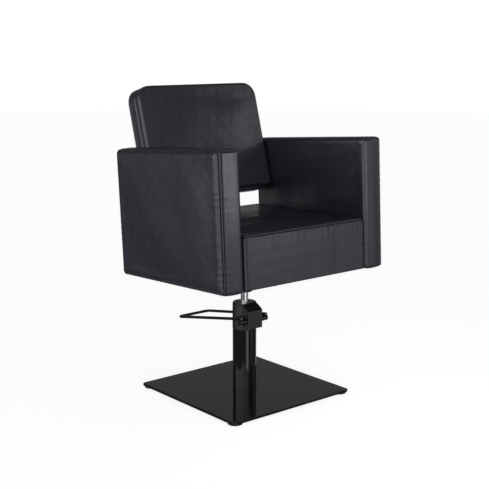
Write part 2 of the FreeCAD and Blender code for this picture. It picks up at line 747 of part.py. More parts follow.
def back_shell():
    shell = back_slab(BACK_PAD_THICKNESS, BACK_THICKNESS, 0)
    rear = [e for e in shell.Edges if e.BoundBox.YMin > BACK_THICKNESS - 0.01]
    shell = shell.makeFillet(BACK_EDGE_RADIUS + 6, rear)
    shell = shell.cut(box(-BOARD_HALF_WIDTH, BOARD_HALF_WIDTH, 0, BOARD_FRONT + BOARD_THICKNESS,
                          BOARD_BOTTOM, BOARD_TOP))
    for x in (-STRAP_X, STRAP_X):
        shell = shell.cut(strap_slot(x))
    return on_back(shell)


def back_inner_foam():
    """Foam sheet on the front of the board."""
    return on_back(box(-BOARD_HALF_WIDTH, BOARD_HALF_WIDTH, BACK_PAD_THICKNESS, BOARD_FRONT,
                       BOARD_BOTTOM, BOARD_TOP))


def back_board():
    board = box(-BOARD_HALF_WIDTH, BOARD_HALF_WIDTH, BOARD_FRONT, BOARD_FRONT + BOARD_THICKNESS,
                BOARD_BOTTOM, BOARD_TOP)
    for x in (-STRAP_X, STRAP_X):
        for height in BACK_SCREW_HEIGHTS:
            board = board.cut(lengthwise(3 + BOLT_CLEARANCE, x, BOARD_FRONT + 2, 80, height))
    return on_back(board)


def back_bracket(side):
    """Flat steel strap, bent once in the gap between the seat and the backrest."""
    front = STRAP_DEPTH
    rear = STRAP_DEPTH + STRAP_THICKNESS
    inner = BOARD_FRONT + BOARD_THICKNESS
    outer = inner + STRAP_THICKNESS
    front_bend = crossing(seat_point(front, 0), seat_point(front, 100), back_point(inner, 0), back_point(inner, 100))
    rear_bend = crossing(seat_point(rear, 0), seat_point(rear, 100), back_point(outer, 0), back_point(outer, 100))
    outline = [seat_point(front, STRAP_FOOT), front_bend, back_point(inner, STRAP_HEAD),
               back_point(outer, STRAP_HEAD), rear_bend, seat_point(rear, STRAP_FOOT)]
    middle = side * STRAP_X
    strap = prism_x(outline, middle - STRAP_WIDTH / 2, middle + STRAP_WIDTH / 2)
    for height in STRAP_BOLT_HEIGHTS:
        strap = strap.cut(on_seat(lengthwise(4 + BOLT_CLEARANCE, middle, front - 5, rear + 5, height)))
    for height in BACK_SCREW_HEIGHTS:
        strap = strap.cut(on_back(lengthwise(3 + BOLT_CLEARANCE, middle, inner - 5, outer + 5, height)))
    return strap


def bracket_bolts():
    bolts = []
    for x in (-STRAP_X, STRAP_X):
        for height in STRAP_BOLT_HEIGHTS:
            head = hexagon(13, V(x, STRAP_DEPTH, height), V(0, -1, 0), 5.5)
            shank = lengthwise(4, x, STRAP_DEPTH, RAIL_REAR - 1, height)
            bolts.append(head.fuse(shank))
    return on_seat(Part.makeCompound(bolts))


def back_screws():
    screws = []
    rear = BOARD_FRONT + BOARD_THICKNESS + STRAP_THICKNESS
    for x in (-STRAP_X, STRAP_X):
        for height in BACK_SCREW_HEIGHTS:
            head = lengthwise(6, x, rear, rear + 2.5, height)
            shank = lengthwise(3, x, BOARD_FRONT + 3, rear, height)
            screws.append(head.fuse(shank))
    return on_back(Part.makeCompound(screws))


SUB_PARTS = {
    "base_plate": base_plate,
    "corner_feet": corner_feet,
    "foot_screws": foot_screws,
    "base_bolts": base_bolts,
    "pump_foot": pump_foot,
    "column_tube": column_tube,
    "cylinder_barrel": cylinder_barrel,
    "pump_casting": pump_casting,
    "guide_bush": guide_bush,
    "rod_seal": rod_seal,
    "head_cover": head_cover,
    "head_cap": head_cap,
    "cap_screws": cap_screws,
    "plunger_sleeve": plunger_sleeve,
    "piston_head": piston_head,
    "piston_seal": piston_seal,
    "pedal_shaft": pedal_shaft,
    "pump_crank": pump_crank,
    "pedal_loop": pedal_loop,
    "pedal_grub_screws": pedal_grub_screws,
    "pump_plunger": pump_plunger,
    "plunger_spring": plunger_spring,
    "piston_rod": piston_rod,
    "mount_hub": mount_hub,
    "mount_plate": mount_plate,
    "mount_bolts": mount_bolts,
    "mount_nuts": mount_nuts,
    "seat_panel": seat_panel,
    "seat_rails": seat_rails,
    "seat_webbing": seat_webbing,
    "seat_cover": seat_cover,
    "seat_foam": seat_foam,
    "dust_cover": dust_cover,
    "arm_bolts": arm_bolts,
    "back_pad_cover": back_pad_cover,
    "back_pad_foam": back_pad_foam,
    "back_shell": back_shell,
    "back_inner_foam": back_inner_foam,
    "back_board": back_board,
    "bracket_bolts": bracket_bolts,
    "back_screws": back_screws,
}

HANDED_SUB_PARTS = {
    "pedal_hub": pedal_hub,
    "arm_core": arm_core,
    "arm_cover": arm_cover,
    "arm_foam": arm_foam,
    "arm_closing": arm_closing,
    "back_bracket": back_bracket,
}


def export(name, shape):
    shape.exportStep("parts/" + name + ".step")
    print(name, len(shape.Solids), "solids, valid", shape.isValid(), "volume", round(shape.Volume / 1000, 2), "cm3")


os.makedirs("parts", exist_ok=True)
for part_name, make in SUB_PARTS.items():
    export(part_name, make())
for part_name, make in HANDED_SUB_PARTS.items():
    for side, word in zip(SIDES, ("right", "left")):
        export(part_name + "_" + word, make(side))
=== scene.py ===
import json
import math

import bpy
import numpy as np
from mathutils import Matrix, Vector


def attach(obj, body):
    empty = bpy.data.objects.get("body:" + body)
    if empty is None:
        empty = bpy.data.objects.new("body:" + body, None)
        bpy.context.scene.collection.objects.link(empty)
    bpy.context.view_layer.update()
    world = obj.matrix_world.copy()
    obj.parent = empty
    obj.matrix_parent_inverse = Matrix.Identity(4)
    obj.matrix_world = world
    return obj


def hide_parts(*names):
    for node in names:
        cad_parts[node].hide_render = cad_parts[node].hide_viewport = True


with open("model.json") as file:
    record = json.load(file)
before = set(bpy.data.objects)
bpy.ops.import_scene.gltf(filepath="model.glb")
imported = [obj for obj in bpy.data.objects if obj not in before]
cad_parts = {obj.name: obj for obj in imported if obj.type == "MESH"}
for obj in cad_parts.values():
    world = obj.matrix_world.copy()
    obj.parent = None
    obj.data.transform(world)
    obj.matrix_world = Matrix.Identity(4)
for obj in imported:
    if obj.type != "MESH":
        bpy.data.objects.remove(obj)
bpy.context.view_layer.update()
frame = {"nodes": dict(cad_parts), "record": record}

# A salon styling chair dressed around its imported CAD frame. Units are metres and the axes are the
# frame's own: +Z up, the sitter faces -Y. Soft pieces are drawn in leaning axes, as they are built.

MM = 0.001
SEAT_LEAN = math.radians(3.2)
BACK_LEAN = math.radians(15.8)
TINY = 1e-9         # keeps divisions safe, and tells a face from the side beside it
MICRON = 1e-6
ON_PLANE = 1e-4     # how far from a flat side a point may be and still count as on it


# ---------------- objects and meshes

def add_object(name, data):
    obj = bpy.data.objects.new(name, data)
    bpy.context.scene.collection.objects.link(obj)
    return obj


def mesh_object(name, points, faces):
    mesh = bpy.data.meshes.new(name)
    mesh.from_pydata(points, [], faces)
    return add_object(name, mesh)


def smooth(mesh):
    mesh.polygons.foreach_set("use_smooth", [True] * len(mesh.polygons))


def coordinates(mesh):
    points = np.zeros(len(mesh.vertices) * 3, np.float32)
    mesh.vertices.foreach_get("co", points)
    return points.reshape(-1, 3).astype(float)


def set_coordinates(mesh, points):
    mesh.vertices.foreach_set("co", points.astype(np.float32).ravel())
    mesh.update()


def vertex_normals(mesh):
    values = np.zeros(len(mesh.vertices) * 3, np.float32)
    mesh.vertex_normals.foreach_get("vector", values)
    return values.reshape(-1, 3).astype(float)


def store(mesh, name, values):
    mesh.attributes.new(name, "FLOAT", "POINT").data.foreach_set("value", values.astype(np.float32))


def fetch(mesh, name):
    values = np.zeros(len(mesh.vertices), np.float32)
    mesh.attributes[name].data.foreach_get("value", values)
    return values.astype(float)


def leaning(angle):
    """Axes that lean back by an angle: columns are the leaning X, Y and Z."""
    return np.array(Matrix.Rotation(-angle, 3, "X"))


def leaning_box(name, axes):
    """Lowest and highest corner of a CAD node along leaning axes."""
    points = coordinates(frame["nodes"][name].data) @ axes
    return points.min(0), points.max(0)


SEAT_AXES = leaning(SEAT_LEAN)
BACK_AXES = leaning(BACK_LEAN)


# ---------------- node trees

class Nodes:
    """Builds a node tree with short calls."""

    def __init__(self, tree):
        self.tree = tree
        self.tree.nodes.clear()

    def add(self, kind, **settings):
        node = self.tree.nodes.new(kind)
        for key, value in settings.items():
            setattr(node, key, value)
        return node

    def feed(self, socket, value):
        """Links a socket from another, or sets its own value."""
        if isinstance(value, bpy.types.NodeSocket):
            self.tree.links.new(value, socket)
        else:
            socket.default_value = value

    def set(self, node, **inputs):
        for key, value in inputs.items():
            self.feed(node.inputs[key.replace("_", " ")], value)
        return node

    def calculate(self, operation, *values):
        """A Math node over sockets and numbers."""
        node = self.add("ShaderNodeMath", operation=operation)
        for socket, value in zip(node.inputs, values):
            self.feed(socket, value)
        return node.outputs[0]

    def ramp(self, value, zero_at, one_at):
        """0 at one value and 1 at the other, with a soft turn at both ends."""
        node = self.add("ShaderNodeMapRange", interpolation_type="SMOOTHSTEP")
        self.set(node, Value=value, From_Min=zero_at, From_Max=one_at, To_Min=0.0, To_Max=1.0)
        return node.outputs["Result"]


# ---------------- camera and light

SENSOR_WIDTH = 36.0     # millimetres, as the lens
LENS = 75.1
CAMERA_BEARING = math.radians(-39.8)    # from the front (-Y) towards +X
CAMERA_ELEVATION = math.radians(11.1)
CAMERA_DISTANCE = 3.179
CAMERA_TARGET = (0, 0, 0.4737)

# Each softbox: name, place, what it points at, width and height in metres, and watts.
SOFTBOXES = (
    ("arm_softbox", (0.32, -1.1, 0.74), (-0.27, -0.3, 0.7), 0.4, 0.4, 2.2),
    ("back_softbox", (1.12, -0.65, 1.2), (0.1, 0.15, 0.8), 0.5, 0.5, 1.1),
)

# Each panel: bearing from the front (-Y) towards +X, half width, lowest and highest elevation,
# softness of its edges (all in degrees), and strength.
STUDIO_PANELS = (
    (-90.0, 42.0, -8.0, 25.0, 16.0, 3.0),
    (-24.0, 25.0, 0.0, 34.0, 16.0, 1.85),
    (-12.0, 11.0, -40.0, 2.0, 12.0, 1.6),
    (37.0, 12.0, -14.0, 6.0, 14.0, 1.2),
    (62.0, 14.0, 0.0, 28.0, 14.0, 0.55),
    (118.0, 26.0, -30.0, 6.0, 16.0, 0.35),
    (140.0, 45.0, 0.0, 34.0, 20.0, 0.13),
    (0.0, 200.0, -100.0, 34.0, 20.0, 0.06),
    (0.0, 200.0, -100.0, -42.0, 20.0, 0.35),
    (20.0, 200.0, 50.0, 100.0, 24.0, 0.32),
)


def aim(obj, place, target):
    obj.location = place
    obj.rotation_euler = (Vector(target) - Vector(place)).to_track_quat("-Z", "Y").to_euler()


def make_camera():
    bpy.context.scene.view_settings.view_transform = "Standard"
    data = bpy.data.cameras.new("camera")
    data.sensor_width = SENSOR_WIDTH
    data.lens = LENS
    camera = add_object("camera", data)
    target = Vector(CAMERA_TARGET)
    back = Vector((math.sin(CAMERA_BEARING) * math.cos(CAMERA_ELEVATION),
                   -math.cos(CAMERA_BEARING) * math.cos(CAMERA_ELEVATION),
                   math.sin(CAMERA_ELEVATION)))
    aim(camera, target + back * CAMERA_DISTANCE, target)
    bpy.context.scene.camera = camera


def make_softboxes():
    """Small softboxes close to the chair, that fade across it as far panels can't."""
    for name, place, target, width, height, power in SOFTBOXES:
        data = bpy.data.lights.new(name, "AREA")
        data.shape = "RECTANGLE"
        data.size = width
        data.size_y = height
        data.energy = power
        light = add_object(name, data)
        light.visible_camera = False
        aim(light, place, target)


def make_world():
    """Studio surroundings: upright light panels of given bearing and height over a dim fill."""
    world = bpy.data.worlds.new("studio")
    bpy.context.scene.world = world
    world.use_nodes = True
    n = Nodes(world.node_tree)
    way = n.add("ShaderNodeTexCoord").outputs["Generated"]
    split = n.set(n.add("ShaderNodeSeparateXYZ"), Vector=way)
    front = n.calculate("MULTIPLY", split.outputs["Y"], -1.0)
    bearing = n.calculate("ARCTAN2", split.outputs["X"], front)
    height = n.calculate("ARCSINE", split.outputs["Z"])
    total = None
    for middle, spread, low, high, soft, strength in STUDIO_PANELS:
        away = n.calculate("SUBTRACT", bearing, math.radians(middle))
        away = n.calculate("WRAP", away, math.pi, -math.pi)
        away = n.calculate("ABSOLUTE", away)
        across = n.ramp(away, math.radians(spread + soft / 2), math.radians(spread - soft / 2))
        above = n.ramp(height, math.radians(low - soft / 2), math.radians(low + soft / 2))
        below = n.ramp(height, math.radians(high + soft / 2), math.radians(high - soft / 2))
        lit = n.calculate("MULTIPLY", below, strength)
        panel = n.calculate("MULTIPLY", n.calculate("MULTIPLY", across, above), lit)
        total = panel if total is None else n.calculate("ADD", total, panel)
    background = n.set(n.add("ShaderNodeBackground"), Color=(1.0, 1.0, 1.0, 1.0), Strength=total)
    n.set(n.add("ShaderNodeOutputWorld"), Surface=background.outputs[0])


# ---------------- stage

FLOOR_SIZE = 30.0
FLOOR_SHADE, FLOOR_GLOW = 0.45, 0.8
SURROUND_RADIUS = 14.0
SURROUND_SHADE, SURROUND_GLOW = 0.0, 1.0
SURROUND_FOOT = -0.5    # the surround starts this far below the floor
SURROUND_SIDES = 48


def make_stage():
    """Pale plain floor and a pale surround. Only the camera sees them, so the studio lights all else."""
    floor = mesh_object("floor", *square(FLOOR_SIZE))
    floor.data.materials.append(stage_material("floor_white", FLOOR_SHADE, FLOOR_GLOW))
    surround = mesh_object("surround", *tall_ring(SURROUND_RADIUS))
    surround.data.materials.append(stage_material("surround_white", SURROUND_SHADE, SURROUND_GLOW))
    for piece in (floor, surround):
        piece.visible_glossy = False
        piece.visible_diffuse = False
        piece.visible_shadow = False
        piece.visible_transmission = False


def stage_material(name, shade, glow):
    material, n, shader, _ = start_material(name)
    n.set(shader, Base_Color=(shade, shade, shade, 1), Roughness=0.9, Specular_IOR_Level=0.1,
          Emission_Color=(1, 1, 1, 1), Emission_Strength=glow)
    return material


def square(size):
    half = size / 2
    corners = [(-half, -half, 0.0), (half, -half, 0.0), (half, half, 0.0), (-half, half, 0.0)]
    return corners, [(0, 1, 2, 3)]


def tall_ring(radius):
    """Points and faces of a ring wall with a flat lid, seen from inside."""
    count = SURROUND_SIDES
    turns = [2 * math.pi * i / count for i in range(count)]
    ring = [(radius * math.cos(turn), radius * math.sin(turn)) for turn in turns]
    points = [(x, y, SURROUND_FOOT) for x, y in ring] + [(x, y, radius) for x, y in ring]
    faces = [(i, i + count, (i + 1) % count + count, (i + 1) % count) for i in range(count)]
    faces.append(tuple(range(count, 2 * count)))
    return points, faces


# ---------------- materials
# Colours are linear. Noise scales are in cells per metre, and bump distances in metres.

MIX_FACTOR, MIX_FIRST, MIX_SECOND, MIX_RESULT = 0, 6, 7, 2      # the colour sockets of a Mix node
WAVE_PITCH = 0.31416    # metres between the bands of a Wave texture at a scale of 1


def start_material(name):
    material = bpy.data.materials.new(name)
    material.use_nodes = True
    n = Nodes(material.node_tree)
    shader = n.add("ShaderNodeBsdfPrincipled")
    n.set(n.add("ShaderNodeOutputMaterial"), Surface=shader.outputs[0])
    place = n.add("ShaderNodeTexCoord").outputs["Object"]
    return material, n, shader, place


def noise(n, place, scale, detail=3.0, rough=0.5):
    node = n.add("ShaderNodeTexNoise")
    n.set(node, Vector=place, Scale=scale, Detail=detail, Roughness=rough)
    return node.outputs["Fac"]


def span(n, value, low, high, from_low=0.3, from_high=0.7):
    """Maps a value to run from low to high. The range it comes from is where noise mostly lies."""
    node = n.add("ShaderNodeMapRange")
    n.set(node, Value=value, From_Min=from_low, From_Max=from_high, To_Min=low, To_Max=high)
    return node.outputs["Result"]


def stretched(n, place, scale):
    return n.set(n.add("ShaderNodeMapping"), Vector=place, Scale=scale).outputs[0]


def blend_colours(n, factor, first, second):
    node = n.add("ShaderNodeMix", data_type="RGBA")
    n.feed(node.inputs[MIX_FACTOR], factor)
    for number, colour in ((MIX_FIRST, first), (MIX_SECOND, second)):
        linked = isinstance(colour, bpy.types.NodeSocket)
        n.feed(node.inputs[number], colour if linked else (*colour, 1))
    return node.outputs[MIX_RESULT]


def bump(n, height, distance, strength, after=None):
    node = n.add("ShaderNodeBump")
    n.set(node, Height=height, Distance=distance, Strength=strength)
    if after is not None:
        n.set(node, Normal=after)
    return node.outputs["Normal"]


def upholstery_material():
    """Black faux leather: fine pebble grain with painted shade in its hollows, faint creases, and a thin
    glossy face coat.
    """
    material, n, shader, place = start_material("black_faux_leather")
    cells = n.add("ShaderNodeTexVoronoi", feature="DISTANCE_TO_EDGE")
    n.set(cells, Vector=place, Scale=560.0)
    pebble = span(n, cells.outputs["Distance"], 0.0, 1.0, from_low=0.0, from_high=0.35)
    fine = noise(n, place, scale=1500.0, detail=2.0)
    creases = noise(n, place, scale=46.0, detail=5.0, rough=0.62)
    broad = noise(n, place, scale=6.0, detail=4.0, rough=0.6)
    normal = bump(n, pebble, distance=0.0002, strength=0.3)
    normal = bump(n, fine, distance=0.0001, strength=0.2, after=normal)
    normal = bump(n, creases, distance=0.0012, strength=0.14, after=normal)
    # The third colour is painted shade, for the hollows between the grains.
    darker, paler, grain_hollow_shade = (0.0105, 0.01, 0.0185), (0.015, 0.0142, 0.0255), (0.006, 0.0055, 0.008)
    colour = blend_colours(n, span(n, broad, 0.0, 1.0), darker, paler)
    # Painted shade: darkens the colour towards each grain's edge, where the grain bump dips.
    colour = blend_colours(n, span(n, pebble, 0.5, 0.0, from_low=0.0, from_high=1.0), colour, grain_hollow_shade)
    n.set(shader, Base_Color=colour, Roughness=span(n, creases, 0.36, 0.5), Normal=normal,
          Specular_IOR_Level=0.5, Specular_Tint=(0.94, 0.92, 1.0, 1.0), Coat_Weight=0.22, Coat_Roughness=0.2)
    return material


def thread_material():
    material, n, shader, place = start_material("black_thread")
    twist = n.add("ShaderNodeTexWave", wave_type="BANDS", bands_direction="DIAGONAL")
    strands = n.set(twist, Vector=place, Scale=900.0, Distortion=1.5).outputs["Fac"]
    colour = blend_colours(n, strands, (0.012, 0.012, 0.014), (0.035, 0.035, 0.04))
    n.set(shader, Base_Color=colour, Roughness=0.55, Normal=bump(n, strands, distance=0.0001, strength=0.4))
    return material


def painted_material(name, colour, gloss, peel, dust):
    """Black paint on steel: fine orange peel and faint dust that dulls the gloss in places."""
    material, n, shader, place = start_material(name)
    wavy = noise(n, place, scale=210.0, detail=2.0)
    cloudy = noise(n, place, scale=9.0, detail=4.0, rough=0.6)
    speck = noise(n, place, scale=700.0, detail=2.0, rough=0.7)
    pale = tuple(c + 0.012 for c in colour)
    marks = span(n, speck, 0.0, dust, from_low=0.62, from_high=0.78)
    n.set(shader, Base_Color=blend_colours(n, marks, colour, pale), Specular_IOR_Level=0.5,
          Roughness=span(n, cloudy, gloss * 0.75, gloss * 1.4),
          Normal=bump(n, wavy, distance=0.0004, strength=peel))
    return material


def metal_material(name, colour, low, high, brushed):
    """Bare metal with fine turning marks round Z. Its roughness runs from low to high."""
    material, n, shader, place = start_material(name)
    lines = noise(n, stretched(n, place, (18.0, 18.0, 1800.0)), scale=1.0, detail=2.0)
    cloudy = noise(n, place, scale=30.0)
    darker = tuple(c * 0.86 for c in colour)
    n.set(shader, Base_Color=blend_colours(n, span(n, cloudy, 0.0, 1.0), colour, darker), Metallic=1.0,
          Roughness=span(n, lines, low, high), Normal=bump(n, lines, distance=0.00006, strength=brushed))
    return material


def plastic_material(name, colour, roughness, grain):
    """Moulded plastic, rubber or cast iron with a fine matt texture."""
    material, n, shader, place = start_material(name)
    fine = noise(n, place, scale=900.0, rough=0.6)
    broad = noise(n, place, scale=40.0)
    lighter = tuple(c * 1.5 + 0.004 for c in colour)
    n.set(shader, Base_Color=blend_colours(n, span(n, broad, 0.0, 1.0), colour, lighter),
          Roughness=span(n, fine, roughness * 0.85, min(1.0, roughness * 1.15)),
          Normal=bump(n, fine, distance=0.0002, strength=grain))
    return material


def timber_material():
    """Plywood and softwood: long grain along X with darker pores."""
    material, n, shader, place = start_material("timber")
    along_grain = stretched(n, place, (2.2, 26.0, 26.0))
    grain = noise(n, along_grain, scale=4.0, detail=6.0, rough=0.65)
    rings = n.add("ShaderNodeTexWave", bands_direction="Y")
    n.set(rings, Vector=along_grain, Scale=1.3, Distortion=5.0, Detail=3.0)
    pores = span(n, rings.outputs["Fac"], 0.0, 0.35, from_low=0.0, from_high=1.0)
    colour = blend_colours(n, grain, (0.42, 0.27, 0.13), (0.62, 0.45, 0.26))
    colour = blend_colours(n, pores, colour, (0.3, 0.18, 0.08))
    n.set(shader, Base_Color=colour, Roughness=span(n, grain, 0.55, 0.8),
          Normal=bump(n, grain, distance=0.0006, strength=0.3))
    return material


def woven_material(name, dark, light, pitch):
    """Plain weave of crossing threads, a pitch apart in metres."""
    material, n, shader, place = start_material(name)
    threads = []
    for direction in ("X", "Y"):
        wave = n.add("ShaderNodeTexWave", bands_direction=direction)
        n.set(wave, Vector=place, Scale=WAVE_PITCH / pitch, Distortion=0.4)
        threads.append(wave.outputs["Fac"])
    weave = n.calculate("MULTIPLY", *threads)
    fuzz = noise(n, place, scale=1200.0)
    n.set(shader, Base_Color=blend_colours(n, weave, dark, light), Roughness=span(n, fuzz, 0.8, 0.95),
          Normal=bump(n, weave, distance=0.0004, strength=0.6))
    return material


def foam_material():
    material, n, shader, place = start_material("foam")
    cells = n.set(n.add("ShaderNodeTexVoronoi"), Vector=place, Scale=700.0).outputs["Distance"]
    colour = blend_colours(n, cells, (0.42, 0.36, 0.2), (0.68, 0.62, 0.42))
    n.set(shader, Base_Color=colour, Roughness=0.95, Normal=bump(n, cells, distance=0.0008, strength=0.6))
    return material


def make_materials():
    """One material for each of the record's material slots, and the thread."""
    made = {
        "black_upholstery": upholstery_material(),
        "thread": thread_material(),
        "timber": timber_material(),
        "foam": foam_material(),
        "webbing": woven_material("webbing", (0.015, 0.015, 0.015), (0.09, 0.09, 0.09), 0.0016),
        "dust_cloth": woven_material("dust_cloth", (0.006, 0.006, 0.006), (0.022, 0.022, 0.022), 0.0007),
    }
    # Slot, name, colour, gloss, orange peel, dust.
    for slot, *look in (
            ("gloss_black_steel", "gloss_black_paint", (0.0065, 0.0065, 0.007), 0.085, 0.02, 0.3),
            ("satin_black_steel", "satin_black_paint", (0.01, 0.01, 0.0105), 0.32, 0.15, 0.4),
            ("black_casting_cover", "cover_black_paint", (0.011, 0.011, 0.0115), 0.27, 0.22, 0.45),
            ("black_steel", "black_oxide", (0.014, 0.014, 0.015), 0.3, 0.1, 0.3)):
        made[slot] = painted_material(*look)
    # Slot, name, colour, roughness, strength of the grain.
    for slot, *look in (
            ("foot_plastic", "foot_plastic", (0.008, 0.008, 0.008), 0.6, 0.3),
            ("closing_board", "closing_board", (0.012, 0.012, 0.012), 0.85, 0.4),
            ("seal_rubber", "seal_rubber", (0.01, 0.01, 0.01), 0.7, 0.2),
            ("pump_iron", "cast_iron", (0.035, 0.034, 0.033), 0.62, 0.7)):
        made[slot] = plastic_material(*look)
    # Slot, name, colour, least and most roughness, strength of the turning marks.
    for slot, *look in (
            ("zinc_steel", "zinc_steel", (0.62, 0.62, 0.64), 0.26, 0.4, 0.1),
            ("machined_steel", "machined_steel", (0.55, 0.55, 0.57), 0.2, 0.36, 0.25),
            ("bronze", "bronze", (0.6, 0.42, 0.18), 0.22, 0.36, 0.2),
            ("chrome_rod", "chrome", (0.86, 0.87, 0.89), 0.035, 0.09, 0.04)):
        made[slot] = metal_material(*look)
    return made


# ---------------- padded slabs

CELL = 11 * MM                  # widest gap between two mesh lines of a slab
LEAST_GAP = 0.9 * MM            # narrowest
SEAM_STEPS = (-3.2, -1.5, 0.0, 1.5, 3.2)    # mesh lines at and beside a seam, in millimetres
SIDES_APART = 1.7               # keeps the gathers of a slab's ends from repeating those of its sides


def distinct(values):
    return sorted(set(round(x, 7) for x in values))


def rim_lines(edge, extra, inner):
    """Distances from an outline: close together over a rounded edge and its seams, then opening out."""
    lines = [edge * (1 - math.tan(math.radians(angle))) for angle in (45, 30, 15, 0)]
    lines += [edge + 3 * MM, edge + 8 * MM]
    lines += list(extra)
    return distinct(x for x in lines if 0 <= x < inner)


def seam_lines(places):
    """Mesh lines that follow a seam: its groove and the swell either side."""
    return [place + step * MM for place in places for step in SEAM_STEPS]


def thin_out(lines, needed=()):
    """Drops lines that lie too close to the one before, keeping both ends and any needed."""
    kept = [lines[0]]
    for line in lines[1:-1]:
        wanted = any(abs(line - other) < MICRON for other in needed)
        if line - kept[-1] >= LEAST_GAP and lines[-1] - line >= LEAST_GAP:
            kept.append(line)
        elif wanted and len(kept) > 1:
            kept[-1] = line
    kept.append(lines[-1])
    return kept


def even_fill(lines, cell):
    """Adds evenly spaced lines wherever two neighbours are more than a cell apart."""
    filled = [lines[0]]
    for low, high in zip(lines, lines[1:]):
        count = max(1, math.ceil((high - low) / cell))
        filled += [low + (high - low) * i / count for i in range(1, count + 1)]
    return np.array(filled)


def both_ends(half, rim):
    lines = sorted([-half + x for x in rim] + [half - x for x in rim])
    return even_fill(thin_out(lines), CELL)


def block_surface(counts):
    """Lattice points on the outside of a block of cells, and its quads wound outwards."""
    index = {}
    points = []
    quads = []
    for axis in range(3):
        u, v = (axis + 1) % 3, (axis + 2) % 3
        for side in (0, counts[axis]):
            for i in range(counts[u]):
                for j in range(counts[v]):
                    corners = []
                    for di, dj in ((0, 0), (1, 0), (1, 1), (0, 1)):
                        ijk = [0, 0, 0]
                        ijk[axis], ijk[u], ijk[v] = side, i + di, j + dj
                        ijk = tuple(ijk)
                        if ijk not in index:
                            index[ijk] = len(points)
                            points.append(ijk)
                        corners.append(index[ijk])
                    quads.append(corners if side else corners[::-1])
    return np.array(points), quads


class Slab:
    """A padded slab. a and b run across its outline, t through its thickness from 0. Its edges are
    rounded to the first radius at t = 0 and the second on the far face. Its corners' radii are given
    for low a and b, high a, high b, then high both.

    Distance over the profile is measured as "over": minus the distance in from the outline on the
    face at t = 0, then t across the side, then the thickness plus the distance in on the far face.
    "along" is the distance along the side, and "rim" the distance in from the outline.
    """

    def __init__(self, half_a, half_b, thick, corners, edges, seams=(), rims=(), levels=()):
        self.half = (half_a, half_b)
        self.thick = thick
        self.corners = corners
        self.edges = edges
        on_faces = [-s for s in seams if s < 0] + [s - thick for s in seams if s > thick]
        rim = rim_lines(max(edges), seam_lines(on_faces) + list(rims), min(half_a, half_b))
        through = rim_lines(edges[0], (), thick / 2)
        through += [thick - x for x in rim_lines(edges[1], (), thick / 2)]
        across = [s for s in seams if 0 < s < thick]
        through += [x for x in seam_lines(across) + list(levels) if 0 < x < thick]
        depths = even_fill(thin_out(distinct(through), across), CELL)
        lines = (both_ends(half_a, rim), both_ends(half_b, rim), depths)
        lattice, self.quads = block_surface([len(x) - 1 for x in lines])
        self.a, self.b, self.t = (lines[i][lattice[:, i]] for i in range(3))
        self.settle()

    def draw_in(self, x, half, rim, reach):
        """Where rounding an edge drew the outline in, gathers the lines beside each corner to fit."""
        start = half - 3 * max(self.edges)
        share = (reach - start) / (half - rim - start)
        affected = (np.abs(x) > start) & (half - rim > start)
        return np.where(affected, np.sign(x) * (start + (np.abs(x) - start) * share), x)

    def settle(self):
        """Rounds the edges and corners, and notes where each point lies over the profile."""
        half_a, half_b = self.half
        a, b, t = self.a.copy(), self.b.copy(), self.t.copy()
        gap_a, gap_b = half_a - np.abs(a), half_b - np.abs(b)
        rim = np.minimum(gap_a, gap_b)
        self.over = np.where(t < TINY, -rim, np.where(t > self.thick - TINY, self.thick + rim, t))
        new_rim = rim.copy()
        for edge, face, sign in ((self.edges[0], 0.0, 1), (self.edges[1], self.thick, -1)):
            depth = sign * (t - face)
            near = (new_rim < edge) & (depth < edge)
            away = np.maximum(np.hypot(new_rim - edge, depth - edge), TINY)
            turned_rim = edge + (new_rim - edge) / away * edge
            turned_depth = edge + (depth - edge) / away * edge
            new_rim = np.where(near, turned_rim, new_rim)
            t = np.where(near, face + sign * turned_depth, t)
        reach_a, reach_b = half_a - new_rim, half_b - new_rim
        a = self.draw_in(a, half_a, rim, reach_a)
        b = self.draw_in(b, half_b, rim, reach_b)
        radius = np.choose((self.a > 0) * 1 + (self.b > 0) * 2, self.corners)
        radius = np.clip(radius - new_rim, 0, None)
        core_a = np.clip(a, radius - reach_a, reach_a - radius)
        core_b = np.clip(b, radius - reach_b, reach_b - radius)
        least = 1e-7
        away = np.hypot(a - core_a, b - core_b)
        outside = away > least
        scale = radius / np.maximum(away, least)
        a = np.where(outside, core_a + (a - core_a) * scale, a)
        b = np.where(outside, core_b + (b - core_b) * scale, b)
        self.flat = np.stack([a, b, t], 1)
        self.rim = rim
        on_ends = self.a * np.sign(self.b) + SIDES_APART
        self.along = np.where(gap_a <= gap_b, self.b * np.sign(self.a), on_ends)


RESTING = ("over", "along", "rim", "a", "b", "t")


def slab_object(name, slab):
    """The slab as a mesh whose points remember where on it they lie."""
    obj = mesh_object(name, slab.flat.tolist(), [list(q) for q in slab.quads])
    for key in RESTING:
        store(obj.data, "rest_" + key, getattr(slab, key))
    return obj


def resting(mesh):
    return (fetch(mesh, "rest_" + key) for key in RESTING)


def place_slab(obj, order, centre, axes):
    """Turns slab coordinates (a, b, t) into the frame: order says which leaning axis each one is."""
    slab = coordinates(obj.data)
    leaned = np.zeros_like(slab)
    for column, (axis, sign) in enumerate(order):
        leaned[:, axis] = slab[:, column] * sign
    leaned += centre
    set_coordinates(obj.data, leaned @ axes.T)


def flip_if_inside_out(mesh):
    """Mirrored pieces come out with their faces reversed."""
    points = coordinates(mesh)
    mesh.calc_loop_triangles()
    corners = np.zeros(len(mesh.loop_triangles) * 3, np.int32)
    mesh.loop_triangles.foreach_get("vertices", corners)
    first, second, third = (points[corners[i::3]] for i in range(3))
    if np.einsum("ij,ij->i", first, np.cross(second, third)).sum() < 0:
        mesh.flip_normals()


